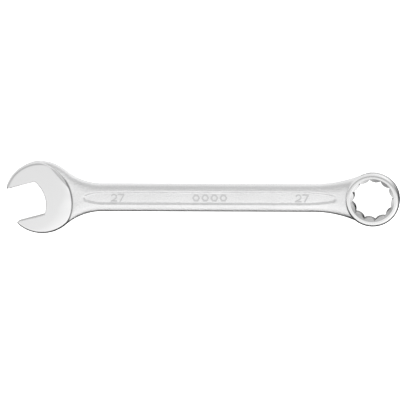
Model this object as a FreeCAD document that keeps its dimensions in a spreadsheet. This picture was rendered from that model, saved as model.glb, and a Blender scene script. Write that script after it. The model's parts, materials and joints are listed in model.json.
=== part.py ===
import FreeCAD, Part
import math
import os
import Sketcher

# Combination wrench, size 27, in millimetres.
# Construction frame: X along the shank from the open end to the ring end, Y across it in the plane of
# the wrench, Z up. The zero point is the middle of the open-end head, in the shank's middle plane.
# The common shift moves every piece so that the zero point becomes the middle of the base.

V = FreeCAD.Vector
Z_AXIS = V(0, 0, 1)
X_AXIS = V(1, 0, 0)
Y_AXIS = V(0, 1, 0)

DIMENSIONS = [
    ("jaw_gap", 27.2, "open end: distance between the jaw faces"),
    ("jaw_angle", 15.0, "open end: turn of the jaws against the shank, degrees"),
    ("head_radius", 28.8, "open end: outer radius"),
    ("head_thick", 10.0, "open end: thickness over the ground faces"),
    ("head_round", 1.2, "open end: rounding of the outer edges"),
    ("jaw_break", 0.5, "open end: broken edge along the jaw faces"),
    ("tip_reach", 24.3, "open end: middle to the cut-off jaw tips"),
    ("tip_bevel", 0.5, "open end: bevel at the mouth"),
    ("tip_round", 1.2, "open end: rounding of the outer corner of the jaw tips"),
    ("throat_depth", 3.0, "open end: middle to the bottom of the throat"),
    ("throat_start", 1.3, "open end: middle to where the jaw faces end, towards the mouth"),
    ("throat_round", 1.5, "open end: corner radius between jaw face and throat"),
    ("step_radius", 33.2, "edge of the ground face at the neck: radius"),
    ("step_x", -9.0, "edge of the ground face at the neck: centre"),
    ("step_y", -3.8, "edge of the ground face at the neck: centre"),
    ("crown_width", 7.0, "ground face: width of the band that falls away towards the step"),
    ("crown_drop", 0.5, "ground face: how far that band falls"),
    ("shank_width", 22.4, "shank: width"),
    ("shank_thick", 8.0, "shank: thickness over the ribs"),
    ("shank_round", 3.6, "shank: rounding of the long edges"),
    ("neck_thick", 8.8, "neck at the open end: thickness at the middle of the head"),
    ("neck_taper_end", 56.0, "neck at the open end: where the shank's own thickness starts"),
    ("neck_flare", 45.0, "neck at the open end: radius of the flare"),
    ("ring_flare", 90.0, "neck at the ring: radius of the flare"),
    ("panel_width", 10.4, "recessed panel: width"),
    ("panel_depth", 0.8, "recessed panel: depth"),
    ("panel_rim", 0.6, "recessed panel: width of its sloped rim"),
    ("panel_start", 33.0, "recessed panel: tip at the open end"),
    ("panel_start_full", 49.5, "recessed panel: where the full width starts"),
    ("panel_start_nose", 3.0, "recessed panel: tip radius at the open end"),
    ("panel_end", 232.8, "recessed panel: tip at the ring end"),
    ("panel_end_full", 209.2, "recessed panel: where the full width ends"),
    ("panel_end_nose", 3.1, "recessed panel: tip radius at the ring end"),
    ("ring_x", 260.9, "ring: centre along the shank"),
    ("ring_angle", 15.0, "ring: tilt against the shank, degrees"),
    ("ring_radius", 20.9, "ring: outer radius"),
    ("ring_thick", 14.0, "ring: thickness"),
    ("ring_round", 2.7, "ring: rounding of the outer edges"),
    ("bend_radius", 90.0, "neck at the ring: radius of the bend"),
    ("bend_thick", 10.4, "neck at the ring: thickness where it meets the ring"),
    ("bore_crest", 14.35, "socket: radius over the rounded teeth, which clears a 27 mm hexagon"),
    ("bore_notch", 16.5, "socket: radius to the bottom of the twelve notches"),
    ("bore_turn", 9.0, "socket: turn of the twelve points about the ring's axis, degrees"),
    ("bevel_radius", 17.0, "socket: outer radius of the lead-in bevel"),
    ("bevel_depth", 1.4, "socket: depth of the lead-in bevel"),
    ("mark_rise", 0.5, "raised marks: height over the panel's floor"),
    ("digit_tall", 6.2, "size numerals: height"),
    ("digit_wide", 4.9, "size numerals: width"),
    ("digit_pitch", 5.75, "size numerals: pitch"),
    ("digit_stroke", 0.95, "size numerals: stroke"),
    ("mark_open_x", 54.8, "size mark at the open end: left edge"),
    ("mark_ring_x", 200.6, "size mark at the ring end: left edge"),
    ("motif_x", 133.0, "row of nut outlines: middle"),
    ("motif_pitch", 7.2, "row of nut outlines: pitch"),
    ("motif_flats", 5.4, "row of nut outlines: across flats, outside"),
    ("motif_bore", 3.2, "row of nut outlines: diameter of the hole"),
]

DERIVED = [
    ("ring_drop", "=(ring_radius - ring_round) * sin(ring_angle * 1deg)"
                  " + (ring_thick / 2 - ring_round) * cos(ring_angle * 1deg) + ring_round"),
    ("ring_z", "=ring_drop - head_thick / 2"),
    ("reach_right", "=ring_x + (ring_radius - ring_round) * cos(ring_angle * 1deg)"
                    " + (ring_thick / 2 - ring_round) * sin(ring_angle * 1deg) + ring_round"),
    ("reach_left", "=tip_reach * cos(jaw_angle * 1deg)"
                   " + sqrt(head_radius ^ 2 - tip_reach ^ 2) * sin(jaw_angle * 1deg)"),
    ("shift_x", "=(reach_left - reach_right) / 2"),
    ("shift_z", "=head_thick / 2"),
    ("step_u", "=step_x * cos(jaw_angle * 1deg) + step_y * sin(jaw_angle * 1deg)"),
    ("step_v", "=step_y * cos(jaw_angle * 1deg) - step_x * sin(jaw_angle * 1deg)"),
    ("throat_radius", "=((jaw_gap / 2) ^ 2 + (throat_start + throat_depth) ^ 2)"
                      " / (2 * (throat_start + throat_depth))"),
    ("panel_floor", "=shank_thick / 2 - panel_depth"),
    ("crown_radius", "=(crown_width ^ 2 + crown_drop ^ 2) / (2 * crown_drop)"),
    ("bump_radius", "=((bore_notch * sin(15deg)) ^ 2 + (bore_notch * cos(15deg) - bore_crest) ^ 2)"
                    " / (2 * (bore_notch * cos(15deg) - bore_crest))"),
    ("taper_rise", "=(neck_thick - shank_thick) / 2"),
    ("taper_radius", "=(neck_taper_end ^ 2 + taper_rise ^ 2) / (2 * taper_rise)"),
]

doc = FreeCAD.newDocument("combination_wrench")
sheet = doc.addObject("Spreadsheet::Sheet", "dims")


def fill_sheet():
    """Writes every driving dimension with its alias, then the dimensions that follow from them."""
    row = 1
    for alias, value, meaning in DIMENSIONS:
        sheet.set(f"A{row}", meaning)
        sheet.set(f"B{row}", str(value))
        sheet.setAlias(f"B{row}", alias)
        row += 1
    doc.recompute()
    for alias, formula in DERIVED:
        sheet.set(f"A{row}", alias)
        sheet.set(f"B{row}", formula)
        sheet.setAlias(f"B{row}", alias)
        doc.recompute()
        row += 1


def dim(alias):
    """The value of one dimension, as a plain number."""
    value = sheet.get(alias)
    return float(getattr(value, "Value", value))


fill_sheet()


def bind(target, prop, formula):
    """Drives one property from the sheet."""
    target.setExpression(prop, formula)


def new_body(name, turn_axis=Z_AXIS, turn="0", x="0", z="0"):
    """An empty body, placed by the common shift plus its own offset and turn."""
    body = doc.addObject("PartDesign::Body", name)
    body.Placement = FreeCAD.Placement(V(0, 0, 0), FreeCAD.Rotation(turn_axis, 1.0))
    bind(body, "Placement.Base.x", f"dims.shift_x + {x}")
    bind(body, "Placement.Base.z", f"dims.shift_z + {z}")
    bind(body, "Placement.Rotation.Angle", turn)
    return body


def new_sketch(body, name, plane="XY_Plane", height=None):
    """A sketch on one of the body's own origin planes, lifted along the plane's normal if asked."""
    sketch = body.newObject("Sketcher::SketchObject", name)
    origin_plane = [f for f in body.Origin.OriginFeatures if f.Role == plane][0]
    sketch.AttachmentSupport = [(origin_plane, "")]
    sketch.MapMode = "FlatFace"
    if height is not None:
        bind(sketch, "AttachmentOffset.Base.z", height)
    return sketch


def hold(sketch, formula, *what):
    """Adds one dimensional constraint and drives it from the sheet."""
    number = sketch.addConstraint(Sketcher.Constraint(*what))
    bind(sketch, f"Constraints[{number}]", formula)


def fix(sketch, *what):
    """Adds one geometric constraint."""
    sketch.addConstraint(Sketcher.Constraint(*what))


def add_line(sketch, start, end):
    """A straight line in the sketch's own plane. Returns its number."""
    return sketch.addGeometry(Part.LineSegment(V(*start, 0), V(*end, 0)), False)


def add_arc(sketch, centre, radius, start, end):
    """A counter-clockwise arc between two angles in radians. Returns its number."""
    circle = Part.Circle(V(*centre, 0), Z_AXIS, radius)
    return sketch.addGeometry(Part.ArcOfCircle(circle, start, end), False)


def add_circle(sketch, centre, radius):
    """A full circle. Returns its number."""
    return sketch.addGeometry(Part.Circle(V(*centre, 0), Z_AXIS, radius), False)


def angle_to(centre, point):
    """The angle of the direction from centre to point, in radians, from 0 to a full turn."""
    return math.atan2(point[1] - centre[1], point[0] - centre[0]) % (2 * math.pi)


def pad(body, sketch, name, length):
    """Extrudes the sketch evenly to both sides of its plane."""
    feature = body.newObject("PartDesign::Pad", name)
    feature.Profile = sketch
    feature.Midplane = True
    bind(feature, "Length", length)
    doc.recompute()
    return feature


def pocket(body, sketch, name, length, upwards=False, midplane=False):
    """Cuts the sketch into the body and makes sure that material went away."""
    before = body.Shape.Volume
    feature = body.newObject("PartDesign::Pocket", name)
    feature.Profile = sketch
    feature.Reversed = upwards
    feature.Midplane = midplane
    bind(feature, "Length", length)
    doc.recompute()
    if body.Shape.Volume >= before - 0.01:
        raise RuntimeError(f"{name} removed nothing")
    return feature


def dress(body, kind, name, wanted, size_name, size):
    """A fillet or chamfer on every edge of the body that wanted(edge) picks."""
    base = body.Tip
    names = [f"Edge{i + 1}" for i, edge in enumerate(base.Shape.Edges) if wanted(edge)]
    if not names:
        raise RuntimeError(f"{name} found no edges")
    feature = body.newObject(kind, name)
    feature.Base = (base, names)
    bind(feature, size_name, size)
    doc.recompute()
    return feature


def middle(edge):
    """The point half way along an edge."""
    return edge.valueAt((edge.FirstParameter + edge.LastParameter) / 2)


def is_upright(edge):
    """Whether an edge runs along Z."""
    low, high = edge.BoundBox.ZMin, edge.BoundBox.ZMax
    return high - low > 0.999 * edge.Length


def groove(body, sketch, name):
    """Cuts the sketch, turned about its own vertical axis, out of the body. Something has to go away."""
    before = body.Shape.Volume
    feature = body.newObject("PartDesign::Groove", name)
    feature.Profile = sketch
    feature.ReferenceAxis = (sketch, ["V_Axis"])
    feature.Angle = 360.0
    doc.recompute()
    if body.Shape.Volume >= before - 0.01:
        raise RuntimeError(f"{name} removed nothing")
    return feature


def crown(body):
    """Lets each ground face fall away smoothly towards the step at the neck."""
    half, radius = dim("head_thick") / 2, dim("crown_radius")
    edge, width, drop = dim("step_radius"), dim("crown_width"), dim("crown_drop")
    for side, name in ((1, "crown_front"), (-1, "crown_back")):
        sketch = new_sketch(body, name, "XZ_Plane", "-dims.step_v")
        bind(sketch, "AttachmentOffset.Base.x", "dims.step_u")
        pivot = (edge - width, side * (half - radius))
        low = (edge, side * (half - drop))
        beyond = edge + 1.0
        rim = [(beyond, low[1]), (beyond, side * (half + 1.0)), (pivot[0], side * (half + 1.0))]
        start = (pivot[0], side * half)
        ends = [low, start] if side > 0 else [start, low]
        fall = add_arc(sketch, pivot, radius, *(angle_to(pivot, end) for end in ends))
        low_end, start_end = (1, 2) if side > 0 else (2, 1)
        chain = [low, *rim, start]
        lines = [add_line(sketch, chain[i], chain[i + 1]) for i in range(4)]
        fix(sketch, "Coincident", fall, low_end, lines[0], 1)
        for i in range(3):
            fix(sketch, "Coincident", lines[i], 2, lines[i + 1], 1)
        fix(sketch, "Coincident", lines[3], 2, fall, start_end)
        hold(sketch, "dims.crown_radius", "Radius", fall, radius)
        hold(sketch, "dims.step_radius", "DistanceX", -1, 1, fall, low_end, edge)
        hold(sketch, "dims.step_radius - dims.crown_width", "DistanceX", -1, 1, fall, start_end, edge - width)
        ends = (-1, 1, fall, start_end) if side > 0 else (fall, start_end, -1, 1)
        hold(sketch, "dims.head_thick / 2", "DistanceY", *ends, half)
        groove(body, sketch, name + "_cut")


def open_end_head():
    """The open end: a round block with a jaw gap, ground flat on both sides up to the step at the neck."""
    body = new_body("open_end_head", Z_AXIS, "dims.jaw_angle")
    outline = new_sketch(body, "head_outline")
    radius, half_gap = dim("head_radius"), dim("jaw_gap") / 2
    tip, bevel = dim("tip_reach"), dim("tip_bevel")
    corner = math.sqrt(radius ** 2 - tip ** 2)
    start, throat = dim("throat_start"), dim("throat_radius")
    throat_centre = (dim("throat_depth") - throat, 0)
    opening = math.atan2(corner, -tip)
    outer = add_arc(outline, (0, 0), radius, -opening, opening)
    throat_arc = add_arc(outline, throat_centre, throat,
                         -angle_to(throat_centre, (-start, half_gap)),
                         angle_to(throat_centre, (-start, half_gap)))
    fix(outline, "Coincident", outer, 3, -1, 1)
    hold(outline, "dims.head_radius", "Radius", outer, radius)
    hold(outline, "dims.throat_radius", "Radius", throat_arc, throat)
    for side, outer_end, throat_end in ((1, 2, 2), (-1, 1, 1)):
        face = add_line(outline, (-tip, side * corner), (-tip, side * (half_gap + bevel)))
        slant = add_line(outline, (-tip, side * (half_gap + bevel)), (bevel - tip, side * half_gap))
        jaw = add_line(outline, (bevel - tip, side * half_gap), (-start, side * half_gap))
        fix(outline, "Coincident", outer, outer_end, face, 1)
        fix(outline, "Coincident", face, 2, slant, 1)
        fix(outline, "Coincident", slant, 2, jaw, 1)
        fix(outline, "Coincident", jaw, 2, throat_arc, throat_end)
        fix(outline, "Vertical", face)
        fix(outline, "Horizontal", jaw)
        hold(outline, "dims.tip_reach", "DistanceX", face, 2, -1, 1, tip)
        hold(outline, "dims.tip_bevel", "DistanceX", slant, 1, slant, 2, bevel)
        hold(outline, "dims.throat_start", "DistanceX", jaw, 2, -1, 1, start)
        if side > 0:
            hold(outline, "dims.jaw_gap / 2", "DistanceY", -1, 1, jaw, 1, half_gap)
            hold(outline, "dims.tip_bevel", "DistanceY", slant, 2, slant, 1, bevel)
        else:
            hold(outline, "dims.jaw_gap / 2", "DistanceY", jaw, 1, -1, 1, half_gap)
            hold(outline, "dims.tip_bevel", "DistanceY", slant, 1, slant, 2, bevel)
    pad(body, outline, "head_block", "dims.head_thick")

    step = new_sketch(body, "head_step")
    centre = (dim("step_u"), dim("step_v"))
    inner = add_circle(step, centre, dim("step_radius"))
    beyond = add_circle(step, centre, 2 * dim("step_radius"))
    fix(step, "Coincident", inner, 3, beyond, 3)
    hold(step, "dims.step_radius", "Radius", inner, dim("step_radius"))
    hold(step, "2 * dims.step_radius", "Radius", beyond, 2 * dim("step_radius"))
    hold(step, "-dims.step_u", "DistanceX", inner, 3, -1, 1, -centre[0])
    hold(step, "-dims.step_v", "DistanceY", inner, 3, -1, 1, -centre[1])
    pocket(body, step, "head_end", "2 * dims.head_thick", midplane=True)

    def at(edge, u, v):
        point = middle(edge)
        return is_upright(edge) and math.hypot(point.x - u, abs(point.y) - v) < 0.01

    def on_outside(edge):
        point = middle(edge)
        if is_upright(edge) or abs(point.z) < dim("head_thick") / 2 - 0.01:
            return False
        return abs(math.hypot(point.x, point.y) - radius) < 0.01

    def on_jaws(edge):
        point = middle(edge)
        if is_upright(edge) or abs(point.z) < dim("head_thick") / 2 - 0.01:
            return False
        return abs(point.y) < half_gap + 0.01 and point.x < dim("throat_depth") + 0.01

    crown(body)
    dress(body, "PartDesign::Fillet", "throat_corners",
          lambda edge: at(edge, -start, half_gap), "Radius", "dims.throat_round")
    dress(body, "PartDesign::Fillet", "tip_corners",
          lambda edge: at(edge, -tip, corner), "Radius", "dims.tip_round")
    dress(body, "PartDesign::Fillet", "outer_edges", on_outside, "Radius", "dims.head_round")
    dress(body, "PartDesign::Chamfer", "jaw_edges", on_jaws, "Size", "dims.jaw_break")
    return body


def shank_plan(body):
    """The outline of the shank seen from above, with a flare into each head."""
    plan = new_sketch(body, "shank_plan")
    half, head, ring = dim("shank_width") / 2, dim("head_radius"), dim("ring_radius")
    flare, far_flare = dim("neck_flare"), dim("ring_flare")
    left_x = math.sqrt((head + flare) ** 2 - (half + flare) ** 2)
    right_x = dim("ring_x") - math.sqrt((ring + far_flare) ** 2 - (half + far_flare) ** 2)
    left_end = -3.0
    left_top = math.sqrt(head ** 2 - left_end ** 2)
    touch = angle_to((0, 0), (left_x, half + flare))
    far_touch = angle_to((right_x, half + far_flare), (dim("ring_x"), 0))
    right_end = (right_x + far_flare * math.cos(far_touch),
                 half + far_flare + far_flare * math.sin(far_touch))
    quarter = math.pi / 2
    top_start = angle_to((0, 0), (left_end, left_top))
    upper = [
        add_arc(plan, (0, 0), head, touch, top_start),
        add_arc(plan, (left_x, half + flare), flare, touch + math.pi, 3 * quarter),
        add_line(plan, (left_x, half), (right_x, half)),
        add_arc(plan, (right_x, half + far_flare), far_flare, 3 * quarter, far_touch),
    ]
    lower = [
        add_arc(plan, (0, 0), head, -top_start, -touch),
        add_arc(plan, (left_x, -half - flare), flare, quarter, math.pi - touch),
        add_line(plan, (left_x, -half), (right_x, -half)),
        add_arc(plan, (right_x, -half - far_flare), far_flare, -far_touch, quarter),
    ]
    left = add_line(plan, (left_end, -left_top), (left_end, left_top))
    right = add_line(plan, (right_end[0], -right_end[1]), right_end)
    fix(plan, "Tangent", upper[0], 1, upper[1], 1)
    fix(plan, "Tangent", upper[1], 2, upper[2], 1)
    fix(plan, "Tangent", upper[2], 2, upper[3], 1)
    fix(plan, "Tangent", lower[0], 2, lower[1], 2)
    fix(plan, "Tangent", lower[1], 1, lower[2], 1)
    fix(plan, "Tangent", lower[2], 2, lower[3], 2)
    fix(plan, "Coincident", left, 1, lower[0], 1)
    fix(plan, "Coincident", left, 2, upper[0], 2)
    fix(plan, "Coincident", right, 1, lower[3], 1)
    fix(plan, "Coincident", right, 2, upper[3], 2)
    fix(plan, "Coincident", upper[0], 3, -1, 1)
    fix(plan, "Coincident", lower[0], 3, -1, 1)
    fix(plan, "Vertical", left)
    fix(plan, "Vertical", right)
    fix(plan, "Horizontal", upper[2])
    fix(plan, "Horizontal", lower[2])
    for chain in (upper, lower):
        hold(plan, "dims.head_radius", "Radius", chain[0], head)
        hold(plan, "dims.neck_flare", "Radius", chain[1], flare)
        hold(plan, "dims.ring_flare", "Radius", chain[3], far_flare)
    hold(plan, "dims.shank_width / 2", "DistanceY", -1, 1, upper[2], 1, half)
    hold(plan, "dims.shank_width / 2", "DistanceY", lower[2], 1, -1, 1, half)
    return plan, right_end[0]


def shank_side(body):
    """Everything above and below the shank seen from the side, with the bend up to the ring."""
    side = new_sketch(body, "shank_side", "XZ_Plane")
    half, bend, tilt = dim("shank_thick") / 2, dim("bend_radius"), math.radians(dim("ring_angle"))
    taper, taper_end = dim("taper_radius"), dim("neck_taper_end")
    start_x, end_x = -6.0, dim("ring_x") - 4.0
    start_z = half + taper - math.sqrt(taper ** 2 - (taper_end - start_x) ** 2)
    half_end = dim("bend_thick") / 2 / math.cos(tilt)

    def slanted(x, sign):
        return dim("ring_z") + (x - dim("ring_x")) * math.tan(tilt) + sign * half_end

    for sign in (1, -1):
        corner_x = dim("ring_x") + (sign * (half - half_end) - dim("ring_z")) / math.tan(tilt)
        bend_x = corner_x - bend * math.tan(tilt / 2)
        centre = (bend_x, sign * half + bend)
        bend_end = (bend_x + bend * math.sin(tilt), centre[1] - bend * math.cos(tilt))
        taper_centre = (taper_end, sign * (half + taper))
        taper_angles = sorted((angle_to(taper_centre, (start_x, sign * start_z)),
                               angle_to(taper_centre, (taper_end, sign * half))))
        cone = add_arc(side, taper_centre, taper, *taper_angles)
        run = add_line(side, (taper_end, sign * half), (bend_x, sign * half))
        turn = add_arc(side, centre, bend, 1.5 * math.pi, 1.5 * math.pi + tilt)
        rise = add_line(side, bend_end, (end_x, slanted(end_x, sign)))
        fix(side, "Horizontal", run)
        cone_end, cone_start = (2, 1) if sign > 0 else (1, 2)
        fix(side, "Tangent", cone, cone_end, run, 1)
        fix(side, "Tangent", run, 2, turn, 1)
        fix(side, "Tangent", turn, 2, rise, 1)
        hold(side, "dims.taper_radius", "Radius", cone, taper)
        hold(side, "dims.bend_radius", "Radius", turn, bend)
        hold(side, "dims.neck_taper_end", "DistanceX", -1, 1, run, 1, taper_end)
        ends = (-1, 1, run, 1) if sign > 0 else (run, 1, -1, 1)
        hold(side, "dims.shank_thick / 2", "DistanceY", *ends, half)
        rim = sign * 2 * dim("ring_radius")
        corners = [(start_x, sign * start_z), (start_x, rim), (end_x, rim), (end_x, slanted(end_x, sign))]
        wall = [add_line(side, corners[i], corners[i + 1]) for i in range(3)]
        fix(side, "Coincident", wall[0], 1, cone, cone_start)
        fix(side, "Coincident", wall[0], 2, wall[1], 1)
        fix(side, "Coincident", wall[1], 2, wall[2], 1)
        fix(side, "Coincident", wall[2], 2, rise, 2)
        fix(side, "Vertical", wall[0])
        fix(side, "Horizontal", wall[1])
        fix(side, "Vertical", wall[2])
    return side


def panel(body, name, height):
    """The outline of the recessed panel: straight edges, drawn in to a rounded tip at each end."""
    sketch = new_sketch(body, name, "XY_Plane", height)
    half = dim("panel_width") / 2
    ends = []
    for tip, full, nose in (("panel_start", "panel_start_full", "panel_start_nose"),
                            ("panel_end", "panel_end_full", "panel_end_nose")):
        inward = 1 if tip == "panel_start" else -1
        nose_x = dim(tip) + inward * dim(nose)
        reach = abs(dim(full) - nose_x)
        radius = (reach ** 2 + half ** 2 - dim(nose) ** 2) / (2 * (half - dim(nose)))
        ends.append((nose_x, dim(full), dim(nose), radius, inward))
    edges = [add_line(sketch, (ends[0][1], sign * half), (ends[1][1], sign * half)) for sign in (1, -1)]
    fix(sketch, "Horizontal", edges[0])
    fix(sketch, "Horizontal", edges[1])
    hold(sketch, "dims.panel_width / 2", "DistanceY", -1, 1, edges[0], 1, half)
    hold(sketch, "dims.panel_width / 2", "DistanceY", edges[1], 1, -1, 1, half)
    for number, (nose_x, full, nose, radius, inward) in enumerate(ends):
        centre = (full, half - radius)
        along = angle_to(centre, (nose_x, 0))
        quarter = math.pi / 2
        if inward > 0:
            top = add_arc(sketch, centre, radius, quarter, along)
            bottom = add_arc(sketch, (full, radius - half), radius, 2 * math.pi - along, 3 * quarter)
            cap = add_arc(sketch, (nose_x, 0), nose, along, 2 * math.pi - along)
            joints = ((cap, 1, top, 2), (cap, 2, bottom, 1), (top, 1, edges[0], 1), (bottom, 2, edges[1], 1))
        else:
            top = add_arc(sketch, centre, radius, along, quarter)
            bottom = add_arc(sketch, (full, radius - half), radius, -quarter, -along)
            cap = add_arc(sketch, (nose_x, 0), nose, -along, along)
            joints = ((cap, 2, top, 1), (cap, 1, bottom, 2), (top, 2, edges[0], 2), (bottom, 1, edges[1], 2))
        for joint in joints:
            fix(sketch, "Tangent", *joint)
        alias = ("panel_start", "panel_end")[number]
        hold(sketch, f"dims.{alias}_nose", "Radius", cap, nose)
        offset = f"{'+' if inward > 0 else '-'} dims.{alias}_nose"
        hold(sketch, f"dims.{alias} {offset}", "DistanceX", -1, 1, cap, 3, nose_x)
        hold(sketch, f"dims.{alias}_full", "DistanceX", -1, 1, edges[0], number + 1, full)
    return sketch


def ring_profile(body, name):
    """Half of the ring's cross-section, without its socket, against the ring's own axis."""
    sketch = new_sketch(body, name, "XZ_Plane")
    radius, half, edge = dim("ring_radius"), dim("ring_thick") / 2, dim("ring_round")
    quarter = math.pi / 2
    base = add_line(sketch, (0, -half), (radius - edge, -half))
    low = add_arc(sketch, (radius - edge, edge - half), edge, -quarter, 0)
    wall = add_line(sketch, (radius, edge - half), (radius, half - edge))
    high = add_arc(sketch, (radius - edge, half - edge), edge, 0, quarter)
    top = add_line(sketch, (radius - edge, half), (0, half))
    axis = add_line(sketch, (0, half), (0, -half))
    fix(sketch, "Tangent", base, 2, low, 1)
    fix(sketch, "Tangent", low, 2, wall, 1)
    fix(sketch, "Tangent", wall, 2, high, 1)
    fix(sketch, "Tangent", high, 2, top, 1)
    fix(sketch, "Coincident", top, 2, axis, 1)
    fix(sketch, "Coincident", axis, 2, base, 1)
    fix(sketch, "PointOnObject", axis, 1, -2)
    fix(sketch, "PointOnObject", axis, 2, -2)
    fix(sketch, "Horizontal", base)
    fix(sketch, "Horizontal", top)
    fix(sketch, "Vertical", wall)
    hold(sketch, "dims.ring_round", "Radius", low, edge)
    hold(sketch, "dims.ring_round", "Radius", high, edge)
    hold(sketch, "dims.ring_radius", "DistanceX", -1, 1, wall, 1, radius)
    hold(sketch, "dims.ring_thick / 2", "DistanceY", base, 1, -1, 1, half)
    hold(sketch, "dims.ring_thick / 2", "DistanceY", -1, 1, top, 2, half)
    return sketch


def ring_blank(name):
    """The ring before its socket is cut, tilted against the shank."""
    body = new_body(name, Y_AXIS, "-dims.ring_angle", "dims.ring_x", "dims.ring_z")
    profile = ring_profile(body, name + "_profile")
    turned = body.newObject("PartDesign::Revolution", name + "_block")
    turned.Profile = profile
    turned.ReferenceAxis = (profile, ["V_Axis"])
    turned.Angle = 360.0
    doc.recompute()
    return body


def ring_head():
    """The ring with its twelve-point socket and a lead-in bevel on both sides."""
    body = ring_blank("ring_head")
    half = dim("ring_thick") / 2
    notch, crest, bump = dim("bore_notch"), dim("bore_crest"), dim("bump_radius")
    bore = new_sketch(body, "socket")
    step, turn = math.pi / 6, math.radians(dim("bore_turn"))
    guide = add_circle(bore, (0, 0), notch)
    bore.toggleConstruction(guide)
    fix(bore, "Coincident", guide, 3, -1, 1)
    hold(bore, "dims.bore_notch", "Radius", guide, notch)
    teeth = []
    for i in range(12):
        middle_angle = turn + (i + 0.5) * step
        centre = ((crest + bump) * math.cos(middle_angle), (crest + bump) * math.sin(middle_angle))
        corners = [(notch * math.cos(turn + (i + k) * step), notch * math.sin(turn + (i + k) * step))
                   for k in (1, 0)]
        start, end = angle_to(centre, corners[0]), angle_to(centre, corners[1])
        if end < start:
            end += 2 * math.pi
        teeth.append(add_arc(bore, centre, bump, start, end))
        hold(bore, "dims.bump_radius", "Radius", teeth[i], bump)
        fix(bore, "PointOnObject", teeth[i], 2, guide)
    for i in range(12):
        fix(bore, "Coincident", teeth[i], 1, teeth[(i + 1) % 12], 2)
    pocket(body, bore, "socket_cut", "2 * dims.ring_thick", midplane=True)
    for sign, name in ((1, "lead_in_top"), (-1, "lead_in_bottom")):
        sketch = new_sketch(body, name, "XZ_Plane")
        inner = dim("bevel_radius") - 2 * (dim("bevel_radius") - crest)
        rim = (dim("bevel_radius"), sign * half)
        tip = (inner, sign * (half - 2 * dim("bevel_depth")))
        back = (inner, sign * half)
        lines = [add_line(sketch, rim, tip), add_line(sketch, tip, back), add_line(sketch, back, rim)]
        for i in range(3):
            fix(sketch, "Coincident", lines[i], 2, lines[(i + 1) % 3], 1)
        fix(sketch, "Vertical", lines[1])
        fix(sketch, "Horizontal", lines[2])
        hold(sketch, "dims.bevel_radius", "DistanceX", -1, 1, lines[0], 1, rim[0])
        hold(sketch, "2 * (dims.bevel_radius - dims.bore_crest)", "DistanceX", lines[2], 1, lines[2], 2,
             rim[0] - inner)
        ends = (-1, 1, lines[2], 1) if sign > 0 else (lines[2], 1, -1, 1)
        hold(sketch, "dims.ring_thick / 2", "DistanceY", *ends, half)
        ends = (lines[1], 1, lines[1], 2) if sign > 0 else (lines[1], 2, lines[1], 1)
        hold(sketch, "2 * dims.bevel_depth", "DistanceY", *ends, 2 * dim("bevel_depth"))
        groove(body, sketch, name + "_cut")
    return body


def shank():
    """The shank with both necks and a recessed panel on each side, cut off where the heads begin."""
    body = new_body("shank_blank")
    half = dim("shank_thick") / 2
    plan, end_x = shank_plan(body)
    pad(body, plan, "shank_block", "4 * dims.ring_radius")
    side = shank_side(body)
    pocket(body, side, "shank_thickness", "4 * dims.ring_radius", midplane=True)

    def is_long(edge):
        return not is_upright(edge) and -2.9 < middle(edge).x < end_x - 0.1

    def on_rim(edge):
        point = middle(edge)
        inside = abs(point.y) < dim("panel_width") / 2 + 0.01
        along = dim("panel_start") - 0.1 < point.x < dim("panel_end") + 0.1
        return abs(abs(point.z) - half) < 0.01 and inside and along

    dress(body, "PartDesign::Fillet", "long_edges", is_long, "Radius", "dims.shank_round")

    step = new_sketch(body, "shank_step")
    circle = add_circle(step, (dim("step_x"), dim("step_y")), dim("step_radius"))
    hold(step, "dims.step_radius", "Radius", circle, dim("step_radius"))
    hold(step, "-dims.step_x", "DistanceX", circle, 3, -1, 1, -dim("step_x"))
    hold(step, "-dims.step_y", "DistanceY", circle, 3, -1, 1, -dim("step_y"))
    pocket(body, step, "shank_start", "4 * dims.ring_radius", midplane=True)
    pocket(body, panel(body, "panel_front", "dims.shank_thick / 2 + 2"), "panel_front_cut",
           "dims.panel_depth + 2")
    pocket(body, panel(body, "panel_back", "-dims.shank_thick / 2 - 2"), "panel_back_cut",
           "dims.panel_depth + 2", upwards=True)

    dress(body, "PartDesign::Chamfer", "panel_rims", on_rim, "Size", "dims.panel_rim")

    envelope = ring_blank("ring_envelope")
    before = body.Shape.Volume
    trimmed = doc.addObject("Part::Cut", "shank")
    trimmed.Base = body
    trimmed.Tool = envelope
    doc.recompute()
    if trimmed.Shape.Volume >= before - 0.01:
        raise RuntimeError("the ring's envelope removed nothing")
    return trimmed


def two_outline(left):
    """The corner points and arcs of the numeral 2, standing on the zero line."""
    tall, wide, stroke = dim("digit_tall"), dim("digit_wide"), dim("digit_stroke")
    outer = wide / 2 - 0.05
    inner = outer - stroke
    centre = (left + wide / 2, tall - outer)
    hook, leave = math.radians(165), math.radians(-38)

    def on(radius, angle):
        return centre[0] + radius * math.cos(angle), centre[1] + radius * math.sin(angle)

    foot = [on(outer, leave), (left + 1.65, stroke), (left + wide, stroke), (left + wide, 0), (left, 0),
            (left, 0.7 * stroke), on(inner, leave)]
    return centre, inner, outer, hook, leave, foot


def seven_outline(left):
    """The corner points of the numeral 7, standing on the zero line."""
    tall, wide, stroke = dim("digit_tall"), dim("digit_wide"), dim("digit_stroke")
    lean = 1.1
    return [(left, tall), (left + wide, tall), (left + wide, tall - stroke),
            (left + lean + 1.1 * stroke, 0), (left + lean, 0),
            (left + wide - 1.2 * stroke, tall - stroke), (left, tall - stroke)]


def add_loop(sketch, points):
    """A closed chain of straight lines."""
    sides = [add_line(sketch, points[i], points[(i + 1) % len(points)]) for i in range(len(points))]
    for i in range(len(sides)):
        fix(sketch, "Coincident", sides[i], 2, sides[(i + 1) % len(sides)], 1)


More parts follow.
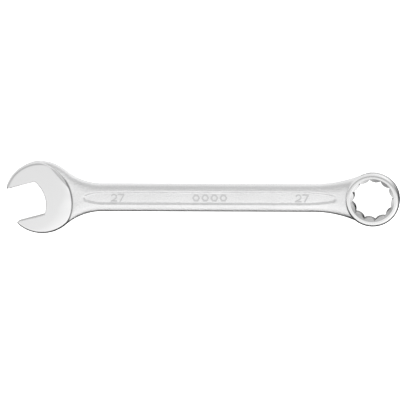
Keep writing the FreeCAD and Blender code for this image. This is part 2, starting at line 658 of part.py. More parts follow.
def raised(name, draw, x, back):
    """A drawing that stands on the floor of a panel. On the back it is turned over about the shank."""
    flat = doc.addObject("Sketcher::SketchObject", name + "_drawing")
    draw(flat)
    side = -1 if back else 1
    flat.Placement = FreeCAD.Placement(V(0, 0, 0), FreeCAD.Rotation(X_AXIS, 180.0 if back else 0.0))
    bind(flat, "Placement.Base.x", f"dims.shift_x + {x}")
    bind(flat, "Placement.Base.z", f"dims.shift_z + {side} * dims.panel_floor")
    solid = doc.addObject("Part::Extrusion", name)
    solid.Base = flat
    solid.DirMode = "Normal"
    solid.Solid = True
    bind(solid, "LengthFwd", "dims.mark_rise")
    doc.recompute()
    return solid


def draw_size(sketch):
    """The size in millimetres, two numerals side by side."""
    middle_line = -dim("digit_tall") / 2
    centre, inner, outer, hook, leave, foot = two_outline(0)
    lowered = [(x, y + middle_line) for x, y in foot]
    centre = (centre[0], centre[1] + middle_line)
    outside = add_arc(sketch, centre, outer, leave, hook)
    inside = add_arc(sketch, centre, inner, leave, hook)
    tip = [(centre[0] + r * math.cos(hook), centre[1] + r * math.sin(hook)) for r in (outer, inner)]
    cap = add_line(sketch, tip[0], tip[1])
    lines = [add_line(sketch, lowered[i], lowered[i + 1]) for i in range(len(lowered) - 1)]
    fix(sketch, "Coincident", outside, 2, cap, 1)
    fix(sketch, "Coincident", cap, 2, inside, 2)
    fix(sketch, "Coincident", outside, 1, lines[0], 1)
    fix(sketch, "Coincident", inside, 1, lines[-1], 2)
    for i in range(len(lines) - 1):
        fix(sketch, "Coincident", lines[i], 2, lines[i + 1], 1)
    hold(sketch, "dims.digit_wide / 2 - 0.05", "Radius", outside, outer)
    hold(sketch, "dims.digit_wide / 2 - 0.05 - dims.digit_stroke", "Radius", inside, inner)
    add_loop(sketch, [(x, y + middle_line) for x, y in seven_outline(dim("digit_pitch"))])


def draw_nuts(sketch):
    """A row of four nut outlines, the wrench's generic mark."""
    corner = dim("motif_flats") / 2 / math.cos(math.pi / 6)
    for place in (-1.5, -0.5, 0.5, 1.5):
        x = place * dim("motif_pitch")
        add_loop(sketch, [(x + corner * math.cos(i * math.pi / 3), corner * math.sin(i * math.pi / 3))
                          for i in range(6)])
        hole = add_circle(sketch, (x, 0), dim("motif_bore") / 2)
        hold(sketch, "dims.motif_bore / 2", "Radius", hole, dim("motif_bore") / 2)


def export(nodes):
    """Checks every object and writes one file for each piece."""
    doc.recompute()
    for item in doc.Objects:
        if "Invalid" in item.State or "Error" in item.State:
            raise RuntimeError(f"{item.Name}: {item.getStatusString()}")
    os.makedirs("parts", exist_ok=True)
    for name, item in nodes.items():
        item.Label = name
        if item.Shape.isNull() or not item.Shape.isValid() or item.Shape.Volume <= 0:
            raise RuntimeError(f"{name} has no valid shape")
        item.Shape.exportStep(f"parts/{name}.step")
        print(name, round(item.Shape.Volume, 1), len(item.Shape.Solids))


export({
    "open_end_head": open_end_head(),
    "shank": shank(),
    "ring_head": ring_head(),
    "size_mark_open_front": raised("size_mark_open_front", draw_size, "dims.mark_open_x", False),
    "size_mark_ring_front": raised("size_mark_ring_front", draw_size, "dims.mark_ring_x", False),
    "size_mark_open_back": raised("size_mark_open_back", draw_size, "dims.mark_open_x", True),
    "size_mark_ring_back": raised("size_mark_ring_back", draw_size, "dims.mark_ring_x", True),
    "nut_row_front": raised("nut_row_front", draw_nuts, "dims.motif_x", False),
    "nut_row_back": raised("nut_row_back", draw_nuts, "dims.motif_x", True),
})
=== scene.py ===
import json
import math

import bmesh
import bpy
from mathutils import Matrix, Vector


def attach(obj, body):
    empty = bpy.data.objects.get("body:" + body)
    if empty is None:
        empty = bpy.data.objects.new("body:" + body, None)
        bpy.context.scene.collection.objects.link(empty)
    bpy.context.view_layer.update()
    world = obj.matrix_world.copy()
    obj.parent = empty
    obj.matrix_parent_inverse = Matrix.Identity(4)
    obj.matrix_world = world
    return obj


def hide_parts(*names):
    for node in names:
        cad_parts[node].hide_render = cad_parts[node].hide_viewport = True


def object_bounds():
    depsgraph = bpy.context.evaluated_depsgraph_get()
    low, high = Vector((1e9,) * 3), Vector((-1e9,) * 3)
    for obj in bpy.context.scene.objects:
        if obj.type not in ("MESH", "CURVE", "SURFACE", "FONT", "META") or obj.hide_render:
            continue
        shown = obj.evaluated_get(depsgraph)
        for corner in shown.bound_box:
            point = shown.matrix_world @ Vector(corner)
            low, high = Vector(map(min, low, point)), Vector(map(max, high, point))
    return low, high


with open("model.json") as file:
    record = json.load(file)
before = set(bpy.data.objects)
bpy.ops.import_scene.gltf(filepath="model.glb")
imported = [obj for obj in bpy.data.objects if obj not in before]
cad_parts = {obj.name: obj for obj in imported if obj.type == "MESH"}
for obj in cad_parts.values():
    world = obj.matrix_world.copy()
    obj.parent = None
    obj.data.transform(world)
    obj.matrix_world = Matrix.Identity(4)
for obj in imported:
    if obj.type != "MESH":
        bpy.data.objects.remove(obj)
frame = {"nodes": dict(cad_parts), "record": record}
CAD_BOUNDS = [list(corner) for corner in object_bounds()]
NODES = frame["nodes"]
MM = 0.001

# The forging's dimensions, in mm and radians. x runs along the shank from the centre of the open
# end, and heights are taken from the shank's middle plane.
HEAD_RADIUS, JAW_ANGLE, HALF_GAP = 28.8, math.radians(15.0), 13.6
TIP_REACH, TIP_BEVEL, TIP_ROUND = 24.3, 0.5, 1.2
THROAT_DEPTH, THROAT_START = 3.0, 1.3
STEP_X, STEP_Y, STEP_RADIUS = -9.0, -3.8, 33.2
HALF_WIDTH, NECK_FLARE, RING_FLARE = 11.2, 45.0, 90.0
RING_X, RING_RADIUS, RING_TILT = 260.9, 20.9, math.radians(15.0)
RING_ROUND, RING_THICK = 2.7, 14.0
HEAD_THICK, NECK_THICK, SHANK_THICK, BEND_THICK = 10.0, 8.8, 8.0, 10.4
TAPER_END, BEND_RADIUS = 56.0, 90.0
PANEL = {"start": 33.0, "start_full": 49.5, "start_nose": 3.0, "end": 232.8, "end_full": 209.2,
         "end_nose": 3.1, "half": 5.2, "depth": 0.8, "rim": 1.7, "lip": 0.4}

# The shank's surface: the power of its rounded section, where 2 is an ellipse; how far it runs on
# under the open end; and the share of the neck's height that is lost at the step, and how far.
SECTION_POWER = 2.7
SHANK_OVERLAP = 0.6
NECK_DIP, NECK_DIP_REACH = 0.17, 6.0

# The open end's surface: its outer edge's rounding; the ground face's fall to the step; the step's
# rounded lip; the bevel along the jaws; the least half thickness; and the narrow flat at the step's
# upper end, with its steeper edge.
ROUND_UPPER, ROUND_LOWER, ROUND_DEEP = 3.0, 2.3, 2.6
ROLL_WIDE, ROLL_WIDER, ROLL_DEEP = 7.0, 5.0, 1.25
STEP_LIP, JAW_CHAMFER, LEAST_HALF = 0.7, 0.4, 1.0
FACET_TURN, FACET_INSET = math.radians(41.0), 2.3
FACET_EDGE, FACET_EDGE_SLOPE, FACET_SLOPE = 0.5, 0.6, 0.24

# The middle plane's height above the floor is in metres; the ring's and the origin's places in mm.
SHANK_HEIGHT = HEAD_THICK / 2 * MM
RING_Z = ((RING_RADIUS - RING_ROUND) * math.sin(RING_TILT)
          + (RING_THICK / 2 - RING_ROUND) * math.cos(RING_TILT) + RING_ROUND - HEAD_THICK / 2)
ORIGIN_X = (CAD_BOUNDS[0][0] / MM + TIP_REACH * math.cos(JAW_ANGLE)
            + math.sqrt(HEAD_RADIUS ** 2 - TIP_REACH ** 2) * math.sin(JAW_ANGLE))


def in_frame(x, y, z):
    """A point of the forging in the shared frame, in metres."""
    return ((x + ORIGIN_X) * MM, y * MM, z * MM + SHANK_HEIGHT)


def to_head(x, y):
    """The forging's plan turned into the jaws' own directions."""
    c, s = math.cos(JAW_ANGLE), math.sin(JAW_ANGLE)
    return x * c + y * s, y * c - x * s


def from_head(u, v):
    """The jaws' own directions turned back into the forging's plan."""
    c, s = math.cos(JAW_ANGLE), math.sin(JAW_ANGLE)
    return u * c - v * s, u * s + v * c


STEP_U, STEP_V = to_head(STEP_X, STEP_Y)
CORNER_V = math.sqrt((HEAD_RADIUS - TIP_ROUND) ** 2 - (TIP_REACH - TIP_ROUND) ** 2)
THROAT_RISE = THROAT_DEPTH + THROAT_START
THROAT_RADIUS = (THROAT_RISE ** 2 + HALF_GAP ** 2) / (2 * THROAT_RISE)
THROAT_U = THROAT_DEPTH - THROAT_RADIUS


# The range that most of a noise texture's values lie in.
NOISE_RANGE = 0.3, 0.7


def grey(level):
    """A grey colour."""
    return (level, level, level, 1)


class Graph:
    """The node tree of a material or a world, with a short call for each kind of node."""

    def __init__(self, owner):
        owner.use_nodes = True
        self.nodes = owner.node_tree.nodes
        self.links = owner.node_tree.links

    def feed(self, socket, value):
        """Links an output to the socket, or sets the socket to a plain value."""
        if isinstance(value, bpy.types.NodeSocket):
            self.links.new(value, socket)
        else:
            socket.default_value = value

    def coordinates(self, kind):
        """Texture coordinates of the given kind."""
        return self.nodes.new("ShaderNodeTexCoord").outputs[kind]

    def split(self, vector):
        """The vector's X, Y and Z, by name."""
        node = self.nodes.new("ShaderNodeSeparateXYZ")
        self.feed(node.inputs["Vector"], vector)
        return node.outputs

    def number(self, operation, first, second):
        """The result of an operation on two numbers."""
        node = self.nodes.new("ShaderNodeMath")
        node.operation = operation
        self.feed(node.inputs[0], first)
        self.feed(node.inputs[1], second)
        return node.outputs["Value"]

    def vector(self, operation, first, second):
        """The result of an operation on two vectors."""
        node = self.nodes.new("ShaderNodeVectorMath")
        node.operation = operation
        self.feed(node.inputs[0], first)
        self.feed(node.inputs[1], second)
        return node.outputs["Vector"]

    def turned(self, vector, angle):
        """The vector turned about the Y axis."""
        node = self.nodes.new("ShaderNodeVectorRotate")
        node.rotation_type = "Y_AXIS"
        node.inputs["Angle"].default_value = angle
        self.feed(node.inputs["Vector"], vector)
        return node.outputs["Vector"]

    def off_axis(self, vector):
        """The vector's distance from the Z axis."""
        node = self.nodes.new("ShaderNodeVectorMath")
        node.operation = "LENGTH"
        self.feed(node.inputs[0], self.vector("MULTIPLY", vector, (1, 1, 0)))
        return node.outputs["Value"]

    def noise(self, place, scale, detail, rough):
        """A noise texture, its scale in features per metre."""
        node = self.nodes.new("ShaderNodeTexNoise")
        node.inputs["Scale"].default_value = scale
        node.inputs["Detail"].default_value = detail
        node.inputs["Roughness"].default_value = rough
        self.feed(node.inputs["Vector"], place)
        return node.outputs["Fac"]

    def ramp(self, value, low, high, start, end):
        """Maps the value from [low, high] to [start, end]."""
        node = self.nodes.new("ShaderNodeMapRange")
        node.inputs["From Min"].default_value = low
        node.inputs["From Max"].default_value = high
        node.inputs["To Min"].default_value = start
        node.inputs["To Max"].default_value = end
        self.feed(node.inputs["Value"], value)
        return node.outputs["Result"]

    def levels(self, value, stops):
        """A grey level for each value from 0 to 1, through stops of (position, level)."""
        node = self.nodes.new("ShaderNodeValToRGB")
        elements = node.color_ramp.elements
        elements.remove(elements[-1])
        elements[0].position = stops[0][0]
        elements[0].color = grey(stops[0][1])
        for position, level in stops[1:]:
            elements.new(position).color = grey(level)
        self.feed(node.inputs["Fac"], value)
        return node.outputs["Color"]

    def blend(self, factor, first, second):
        """The first colour where the factor is 0, and the second where it is 1."""
        node = self.nodes.new("ShaderNodeMix")
        node.data_type = "RGBA"
        self.feed(node.inputs["Factor"], factor)
        self.feed(node.inputs["A"], first)
        self.feed(node.inputs["B"], second)
        return node.outputs["Result"]


def painted_seam_shade(graph, place):
    """Painted shade in the corner at the foot of the open end's step, as a share: 0.7 beside the step,
    fading to 0 away from it and towards the neck's upper side."""
    dark_to, clear_from, strength = (STEP_RADIUS + 0.3) * MM, (STEP_RADIUS + 1.1) * MM, 0.7
    full_below, none_above = 12.0 * MM, 18.0 * MM
    from_centre = graph.vector("SUBTRACT", place, in_frame(STEP_X, STEP_Y, 0))
    near = graph.ramp(graph.off_axis(from_centre), dark_to, clear_from, strength, 0.0)
    low = graph.ramp(graph.split(place)["Y"], full_below, none_above, 1.0, 0.0)
    return graph.number("MULTIPLY", near, low)


def painted_socket_shade(graph, place):
    """Painted shade on the socket's broached wall, in place of a dark reflection: 0.2 at its upper
    bevel, 1 deep inside, 0 off the wall.
    """
    wall_to, ring_from = 16.7 * MM, 16.9 * MM
    deep_at, bevel_at, bevel_shade = -3.0 * MM, 6.4 * MM, 0.2
    from_centre = graph.vector("SUBTRACT", place, in_frame(RING_X, 0, RING_Z))
    upright = graph.turned(from_centre, RING_TILT)
    inside = graph.ramp(graph.off_axis(upright), wall_to, ring_from, 1.0, 0.0)
    deep = graph.ramp(graph.split(upright)["Z"], deep_at, bevel_at, 1.0, bevel_shade)
    return graph.number("MULTIPLY", inside, deep)


def chrome(name, tone, spread, rough, grain, grain_depth, shade=None):
    """Satin chrome: a tone that varies by the spread, a roughness that drifts between the two given,
    and a grain in features per metre with its depth in metres. The shade says where painted shade
    darkens it."""
    drift_scale, drift_detail, drift_rough = 60.0, 3.0, 0.5
    grain_detail, grain_rough = 2.0, 0.6
    blue_share, painted_shade_grey = 0.9, grey(0.10)
    material = bpy.data.materials.new(name)
    graph = Graph(material)
    shader = graph.nodes["Principled BSDF"]
    place = graph.coordinates("Object")
    drift = graph.noise(place, drift_scale, drift_detail, drift_rough)
    fine = graph.noise(place, grain, grain_detail, grain_rough)
    darker = (tone - spread, tone - spread, tone - spread * blue_share, 1)
    colour = graph.blend(graph.ramp(fine, *NOISE_RANGE, 0.0, 1.0), darker, grey(tone + spread))
    # Painted shade: where the shade function gives 1, the colour goes to a dark grey that stands in for
    # shadow.
    if shade:
        colour = graph.blend(shade(graph, place), colour, painted_shade_grey)
    bump = graph.nodes.new("ShaderNodeBump")
    bump.inputs["Strength"].default_value = 1.0
    bump.inputs["Distance"].default_value = grain_depth
    graph.feed(bump.inputs["Height"], fine)
    graph.feed(shader.inputs["Base Color"], colour)
    graph.feed(shader.inputs["Roughness"], graph.ramp(drift, *NOISE_RANGE, *rough))
    graph.feed(shader.inputs["Normal"], bump.outputs["Normal"])
    shader.inputs["Metallic"].default_value = 1.0
    return material


LOOKS = {
    "ground_face_steel": chrome("ground_face", tone=0.735, spread=0.008, rough=(0.28, 0.31),
                                grain=2500.0, grain_depth=1e-6),
    # The shank's blasted steel carries painted shade in the corner at the foot of the open end's step.
    "blasted_steel": chrome("blasted", tone=0.78, spread=0.035, rough=(0.34, 0.42),
                            grain=850.0, grain_depth=2.8e-4, shade=painted_seam_shade),
    # The polished steel carries painted shade deep in the ring's socket, in place of a dark reflection.
    "polished_steel": chrome("polished", tone=0.77, spread=0.01, rough=(0.20, 0.26),
                             grain=2500.0, grain_depth=2e-6, shade=painted_socket_shade),
    "raised_mark_steel": chrome("raised_marks", tone=0.60, spread=0.03, rough=(0.34, 0.42),
                                grain=3000.0, grain_depth=1e-5),
}
for entry in frame["record"]["subparts"]:
    node = NODES[entry["node"]]
    node.data.materials.clear()
    node.data.materials.append(LOOKS[entry["material_slot"]])


def build(name, verts, faces, slot, node, sharp):
    """A piece made from its points and faces, with smooth shading between edges sharper than the
    given angle in degrees."""
    merge_within = 2e-6
    mesh = bpy.data.meshes.new(name)
    mesh.from_pydata(verts, [], faces)
    mesh.validate()
    work = bmesh.new()
    work.from_mesh(mesh)
    bmesh.ops.remove_doubles(work, verts=work.verts, dist=merge_within)
    bmesh.ops.recalc_face_normals(work, faces=work.faces)
    work.to_mesh(mesh)
    work.free()
    mesh.shade_smooth()
    mesh.set_sharp_from_angle(angle=math.radians(sharp))
    piece = bpy.data.objects.new(name, mesh)
    bpy.context.scene.collection.objects.link(piece)
    mesh.materials.append(LOOKS[slot])
    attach(piece, "root")
    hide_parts(node)
    return piece


def smooth(value, low, high):
    """0 below low, 1 above high, and a smooth rise between."""
    step = min(1.0, max(0.0, (value - low) / (high - low)))
    return step * step * (3 - 2 * step)


def fillet(inset, width):
    """The fall of a rounded edge of the given width, as a share: 1 at the edge, 0 inside it."""
    return 1 - math.sqrt(1 - max(0.0, 1 - inset / width) ** 2)


def grid_faces(columns, width, first=0):
    """The quads of a grid with columns + 1 lines of width points each, from the given first point."""
    faces = []
    for i in range(columns):
        for j in range(width - 1):
            a = first + i * width + j
            faces.append((a, a + width, a + width + 1, a + 1))
    return faces


def half_width(x):
    """Half the forging's width: the open end's circle, a hollow flare, the shank, the ring's flare."""
    left = math.sqrt((HEAD_RADIUS + NECK_FLARE) ** 2 - (HALF_WIDTH + NECK_FLARE) ** 2)
    right = RING_X - math.sqrt((RING_RADIUS + RING_FLARE) ** 2 - (HALF_WIDTH + RING_FLARE) ** 2)
    if x < left * HEAD_RADIUS / (HEAD_RADIUS + NECK_FLARE):
        return math.sqrt(HEAD_RADIUS ** 2 - x * x)
    if x < left:
        return HALF_WIDTH + NECK_FLARE - math.sqrt(NECK_FLARE ** 2 - (x - left) ** 2)
    if x < right:
        return HALF_WIDTH
    return HALF_WIDTH + RING_FLARE - math.sqrt(RING_FLARE ** 2 - (x - right) ** 2)


def face_height(x, sign):
    """Height of the shank's front (sign 1) or back face at its middle line: a taper, a straight
    stretch, a bend and the slant up to the ring."""
    half = SHANK_THICK / 2
    if x < TAPER_END:
        rise = (NECK_THICK - SHANK_THICK) / 2
        return sign * (half + rise * ((TAPER_END - x) / TAPER_END) ** 2)
    slope = math.tan(RING_TILT)
    half_end = BEND_THICK / 2 / math.cos(RING_TILT)
    corner = RING_X + (sign * (half - half_end) - RING_Z) / slope
    start = corner - BEND_RADIUS * math.tan(RING_TILT / 2)
    if x < start:
        return sign * half
    if x < start + BEND_RADIUS * math.sin(RING_TILT):
        return sign * half + BEND_RADIUS - math.sqrt(BEND_RADIUS ** 2 - (x - start) ** 2)
    return RING_Z + (x - RING_X) * slope + sign * half_end


def panel_distance(x, y):
    """Distance inside the edge of the recessed panel; negative outside it."""
    half = PANEL["half"]
    y = abs(y)
    middle_x = (PANEL["start_full"] + PANEL["end_full"]) / 2
    side = "start" if x < middle_x else "end"
    inward = 1 if side == "start" else -1
    nose, full = PANEL[side + "_nose"], PANEL[side + "_full"]
    nose_x = PANEL[side] + inward * nose
    reach = abs(full - nose_x)
    radius = (reach ** 2 + half ** 2 - nose ** 2) / (2 * (half - nose))
    along = (x - full) * inward
    if along >= 0:
        return half - y
    touch = reach * radius / (radius - nose)
    if -along <= touch:
        return radius - math.hypot(along, y + radius - half)
    return nose - math.hypot(x - nose_x, y)


def shank_section(x, y, sign):
    """Height of the shank's surface: a rounded forged section that dips at the open end's step, with
    the panel sunk into it."""
    top, bottom = face_height(x, 1), face_height(x, -1)
    middle, half = (top + bottom) / 2, (top - bottom) / 2
    inset = max(0.0, half_width(x) - abs(y))
    away = max(0.0, 1 - inset / HALF_WIDTH)
    height = half * max(0.0, 1 - away ** SECTION_POWER) ** (1 / SECTION_POWER)
    beyond_step = max(0.0, math.hypot(x - STEP_X, y - STEP_Y) - STEP_RADIUS)
    height *= 1 - NECK_DIP * max(0.0, 1 - beyond_step / NECK_DIP_REACH) ** 2
    height -= PANEL["depth"] * smooth(panel_distance(x, y), -PANEL["lip"], PANEL["rim"])
    return middle + sign * height


def shares_across(rows):
    """Shares of the half width from -1 to 1, even in the middle and closer at the rounded sides."""
    even_to, pitch, power = 0.62, 1.22, 2.2
    shares = []
    for i in range(rows + 1):
        step = i / rows
        if step < even_to:
            shares.append(step * pitch)
        else:
            shares.append(1 - (1 - even_to * pitch) * ((1 - step) / (1 - even_to)) ** power)
    return [-share for share in reversed(shares[1:])] + shares


def bent_column(line, share, start, end):
    """The x of a point on a line across the shank. Near the ends of the shank the lines bend to
    follow the step's arc and the ring's wall."""
    fade, widest_squared, rounds = 26.0, 300.0, 4
    near_step = max(0.0, 1 - (line - start) / fade)
    near_ring = max(0.0, 1 - (end - line) / fade)
    x = line
    for _ in range(rounds):
        y = share * half_width(x)
        step_edge = STEP_X + math.sqrt((STEP_RADIUS - SHANK_OVERLAP) ** 2 - (y - STEP_Y) ** 2)
        ring_edge = RING_X - math.sqrt((RING_RADIUS - RING_ROUND) ** 2 - min(y * y, widest_squared))
        x = line + (step_edge - start) * near_step + (ring_edge - end) * near_ring
    return x


def build_shank():
    """The shank with both necks, from inside the open end's step to inside the ring's wall."""
    columns, rows, sharp = 440, 56, 60.0
    shares = shares_across(rows)
    start, end = STEP_X + STEP_RADIUS - SHANK_OVERLAP, RING_X - RING_RADIUS + RING_ROUND
    verts = []
    for sign in (1, -1):
        for i in range(columns + 1):
            line = start + (end - start) * i / columns
            for share in shares:
                x = bent_column(line, share, start, end)
                y = share * half_width(x)
                verts.append(in_frame(x, y, shank_section(x, y, sign)))
    back = (columns + 1) * len(shares)
    faces = grid_faces(columns, len(shares)) + grid_faces(columns, len(shares), back)
    return build("shank_forging", verts, faces, "blasted_steel", "shank", sharp)


def circle_meeting():
    """Angles, about the open end's centre, where its circle meets the step's arc."""
    apart = math.hypot(STEP_X, STEP_Y)
    away = math.atan2(-STEP_Y, -STEP_X)
    reach = (STEP_RADIUS ** 2 - HEAD_RADIUS ** 2 - apart ** 2) / (2 * apart)
    spread = math.acos(reach / HEAD_RADIUS)
    return away + spread, away - spread


def resample(points, count):
    """The same polyline through count + 1 points evenly spaced along it."""
    lengths = [0.0]
    for a, b in zip(points, points[1:]):
        lengths.append(lengths[-1] + math.dist(a, b))
    result, j = [], 0
    for i in range(count + 1):
        goal = lengths[-1] * i / count
        while j < len(points) - 2 and lengths[j + 1] < goal:
            j += 1
        share = (goal - lengths[j]) / (lengths[j + 1] - lengths[j])
        result.append(tuple(p + (q - p) * share for p, q in zip(points[j], points[j + 1])))
    return result


def arc(centre, radius, start, end, count):
    """Points along an arc."""
    turns = [start + (end - start) * i / count for i in range(count + 1)]
    return [(centre[0] + radius * math.cos(a), centre[1] + radius * math.sin(a)) for a in turns]


def outer_outline():
    """The open end's outside, from the upper jaw's tip round by the step to the lower jaw's tip."""
    tip_flat, corner_count, side_count = 0.6, 12, 160
    corner_u = TIP_ROUND - TIP_REACH
    corner_turn = math.atan2(CORNER_V, corner_u)
    upper, lower = (angle - JAW_ANGLE for angle in circle_meeting())
    meeting = [(HEAD_RADIUS * math.cos(a), HEAD_RADIUS * math.sin(a)) for a in (upper, lower)]
    step_from, step_to = (math.atan2(v - STEP_V, u - STEP_U) for u, v in meeting)
    points = [(-TIP_REACH, CORNER_V - tip_flat)]
    points += arc((corner_u, CORNER_V), TIP_ROUND, math.pi, corner_turn, corner_count)
    points += arc((0, 0), HEAD_RADIUS, corner_turn, upper, side_count)[1:]
    points += arc((STEP_U, STEP_V), STEP_RADIUS, step_from, step_to, side_count)[1:]
    points += arc((0, 0), HEAD_RADIUS, lower, -corner_turn, side_count)[1:]
    points += arc((corner_u, -CORNER_V), TIP_ROUND, -corner_turn, -math.pi, corner_count)[1:]
    points += [(-TIP_REACH, tip_flat - CORNER_V)]
    return points


def jaw_outline():
    """The mouth's upper bevel, the upper jaw face, the throat, and the same below."""
    throat_count = 120
    turn = math.atan2(HALF_GAP, -THROAT_START - THROAT_U)
    points = [(-TIP_REACH, HALF_GAP + TIP_BEVEL), (TIP_BEVEL - TIP_REACH, HALF_GAP)]
    points += arc((THROAT_U, 0), THROAT_RADIUS, turn, -turn, throat_count)
    points += [(TIP_BEVEL - TIP_REACH, -HALF_GAP), (-TIP_REACH, -HALF_GAP - TIP_BEVEL)]
    return points


def rounding_drop(u, v, y):
    """How far the outer edge's rounding has fallen; it is wider at the open end's upper side."""
    narrow_below, wide_above = -12.0, 12.0
    rim = min(HEAD_RADIUS - math.hypot(u, v), u + TIP_REACH)
    if u < TIP_ROUND - TIP_REACH and abs(v) > CORNER_V:
        rim = TIP_ROUND - math.hypot(u + TIP_REACH - TIP_ROUND, abs(v) - CORNER_V)
    wide = ROUND_LOWER + (ROUND_UPPER - ROUND_LOWER) * smooth(y, narrow_below, wide_above)
    return ROUND_DEEP * fillet(max(0.0, rim), wide)


def roll_drop(inset, y):
    """How far the ground face has rolled off towards the step: not at all at the upper side, fully
    from the middle down, and over a wider band at the lower side."""
    full_below, none_above = 1.0, 14.0
    wider_below, widest_below = 2.0, -12.0
    wide = ROLL_WIDE + ROLL_WIDER * smooth(-y, -wider_below, -widest_below)
    return ROLL_DEEP * (1 - smooth(y, full_below, none_above)) * max(0.0, 1 - inset / wide) ** 2


def facet_drop(x, y):
    """How far the narrow flat at the step's upper end has fallen, past its steeper edge."""
    across = (x - STEP_X) * math.cos(FACET_TURN) + (y - STEP_Y) * math.sin(FACET_TURN)
    cut = max(0.0, across - (STEP_RADIUS - FACET_INSET))
    return FACET_EDGE_SLOPE * min(cut, FACET_EDGE) + FACET_SLOPE * max(0.0, cut - FACET_EDGE)


def jaw_distance(u, v):
    """Distance from the throat, the jaw faces or the mouth's bevels."""
    if u >= -THROAT_START:
        return math.hypot(u - THROAT_U, v) - THROAT_RADIUS
    from_face = abs(v) - HALF_GAP
    return min(from_face, (from_face + u + TIP_REACH - TIP_BEVEL) / math.sqrt(2))


def head_height(u, v):
    """Height of the open end's front surface, at a point in the jaws' own directions."""
    x, y = from_head(u, v)
    half = HEAD_THICK / 2
    inset = max(0.0, STEP_RADIUS - math.hypot(u - STEP_U, v - STEP_V))
    drop = rounding_drop(u, v, y) + roll_drop(inset, y)
    drop += STEP_LIP * fillet(inset, STEP_LIP)
    drop += facet_drop(x, y)
    drop = max(drop, JAW_CHAMFER - max(0.0, jaw_distance(u, v)))
    return half - min(drop, half - LEAST_HALF)


def shares_inwards(span):
    """Shares of the way from the outer outline to the jaws. The points are closer together at both
    edges, by distances in mm that shrink where the span is short."""
    from_outside = (0, 0.01, 0.03, 0.07, 0.13, 0.2, 0.3, 0.42, 0.56, 0.72, 0.9, 1.1, 1.35, 1.6, 1.85,
                    2.1, 2.35, 2.6, 2.9, 3.2, 3.6)
    from_jaws = (0.9, 0.6, JAW_CHAMFER + 0.01, JAW_CHAMFER, JAW_CHAMFER / 2, 0.0)
    between, roomy = 34, 5.5
    fit = min(1.0, span / roomy)
    near = [distance * fit / span for distance in from_outside]
    far = [1 - distance * fit / span for distance in from_jaws]
    gap = far[0] - near[-1]
    return near + [near[-1] + gap * (k + 1) / (between + 1) for k in range(between)] + far


def build_open_end():
    """The open end: ground faces that roll off to the step, a narrow flat at the step's upper end,
    softly rounded outside, crisp at the jaws."""
    count, sharp = 420, 38.0
    outline = list(zip(resample(outer_outline(), count), resample(jaw_outline(), count)))
    verts = []
    for sign in (1, -1):
        for (outer_u, outer_v), (jaw_u, jaw_v) in outline:
            shares = shares_inwards(math.hypot(outer_u - jaw_u, outer_v - jaw_v))
            for share in shares:
                u, v = outer_u + (jaw_u - outer_u) * share, outer_v + (jaw_v - outer_v) * share
                x, y = from_head(u, v)
                verts.append(in_frame(x, y, sign * head_height(u, v)))
    width = len(shares)
    back = (count + 1) * width
    faces = grid_faces(count, width) + grid_faces(count, width, back)
    for i in range(count):
        for j in (0, width - 1):
            a, b = i * width + j, (i + 1) * width + j
            faces.append((a, b, back + b, back + a))
    for i in (0, count):
        for j in range(width - 1):
            a = i * width + j
            faces.append((a, a + 1, back + a + 1, back + a))
    return build("open_end_forging", verts, faces, "ground_face_steel", "open_end_head", sharp)


def add_floor():
    """A plain pale floor under the wrench, wide enough for low views and not reflected in the wrench."""
    reach, tone, rough, glow = 20.0, 0.9, 0.9, 0.9
    mesh = bpy.data.meshes.new("floor")
    corners = [(-reach, -reach, 0), (reach, -reach, 0), (reach, reach, 0), (-reach, reach, 0)]
    mesh.from_pydata(corners, [], [(0, 1, 2, 3)])
    floor = bpy.data.objects.new("floor", mesh)
    bpy.context.scene.collection.objects.link(floor)
    material = bpy.data.materials.new("pale_floor")
    shader = Graph(material).nodes["Principled BSDF"]
    shader.inputs["Base Color"].default_value = grey(tone)
    shader.inputs["Roughness"].default_value = rough
    shader.inputs["Emission Color"].default_value = grey(1)
    shader.inputs["Emission Strength"].default_value = glow
    mesh.materials.append(material)
    floor.visible_glossy = False


def add_softbox(name, direction, distance, size, power):
    """A rectangular area light that faces the wrench from the given direction."""
    light = bpy.data.lights.new(name, "AREA")
    light.shape = "RECTANGLE"
    light.size, light.size_y = size
    light.energy = power
    lamp = bpy.data.objects.new(name, light)
    bpy.context.scene.collection.objects.link(lamp)
    away = Vector(direction).normalized()
    lamp.location = Vector((0, 0, SHANK_HEIGHT)) + away * distance
    lamp.rotation_euler = away.to_track_quat("Z", "Y").to_euler()


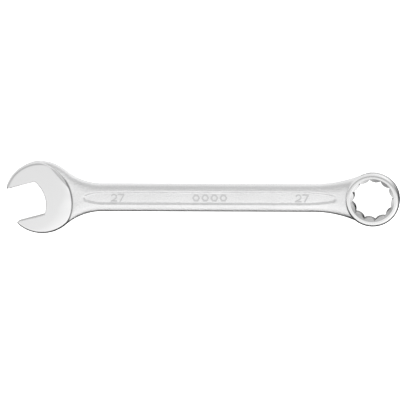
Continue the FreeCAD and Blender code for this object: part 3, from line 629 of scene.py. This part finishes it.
def add_world(band, ends):
    """Soft studio surroundings. The band gives (degrees from overhead towards +Y, level); the ends
    give (x of the direction, factor) along the wrench. Seen directly, they are plain white."""
    brightest = 2.0      # both ramps hold their levels as shares of this
    world = bpy.data.worlds.new("studio")
    graph = Graph(world)
    direction = graph.split(graph.coordinates("Generated"))
    angle = graph.number("ARCTAN2", direction["Y"], direction["Z"])
    around = graph.levels(graph.ramp(angle, -math.pi, math.pi, 0.0, 1.0),
                          [(degrees / 360 + 0.5, level / brightest) for degrees, level in band])
    along = graph.levels(graph.ramp(direction["X"], -1.0, 1.0, 0.0, 1.0),
                         [((x + 1) / 2, factor / brightest) for x, factor in ends])
    reflected = graph.number("MULTIPLY", graph.number("MULTIPLY", around, along), brightest ** 2)
    seen_directly = graph.nodes.new("ShaderNodeLightPath").outputs["Is Camera Ray"]
    background = graph.nodes["Background"]
    background.inputs["Color"].default_value = grey(1)
    graph.feed(background.inputs["Strength"], graph.number("MAXIMUM", reflected, seen_directly))
    bpy.context.scene.world = world


def add_camera():
    """A camera almost straight above the wrench, a little towards +Y."""
    lean, roll = math.radians(9.2), math.radians(0.20)
    distance, field = 0.66, 0.3176
    target = Vector((-0.0021, -0.0020, SHANK_HEIGHT))
    camera = bpy.data.cameras.new("camera")
    camera.sensor_width = 36.0
    camera.lens = camera.sensor_width * distance / field
    camera.clip_end = 50.0
    eye = bpy.data.objects.new("camera", camera)
    bpy.context.scene.collection.objects.link(eye)
    turn = Matrix.Rotation(-lean, 4, "X") @ Matrix.Rotation(roll, 4, "Z")
    eye.matrix_world = Matrix.Translation(target) @ turn @ Matrix.Translation((0, 0, distance))
    bpy.context.scene.camera = eye


build_shank()
build_open_end()
add_floor()
add_world(
    band=[(-180, 0.02), (-82, 0.03), (-69, 0.16), (-59, 1.22), (-24, 1.27), (-10, 1.02), (0, 0.90),
          (10, 0.70), (20, 0.50), (30, 0.50), (42, 0.78), (58, 1.0), (90, 1.1), (162, 1.1), (180, 0.05)],
    ends=[(-1.0, 0.95), (-0.25, 0.95), (0.0, 1.0), (0.2, 1.06), (0.5, 1.2), (0.7, 1.0), (0.85, 0.4),
          (1.0, 0.1)])
add_softbox("overhead", direction=(0.0, -0.25, 1.0), distance=1.5, size=(1.6, 1.0), power=0.5)
add_camera()
bpy.context.scene.view_settings.view_transform = "Standard"

bpy.context.view_layer.update()
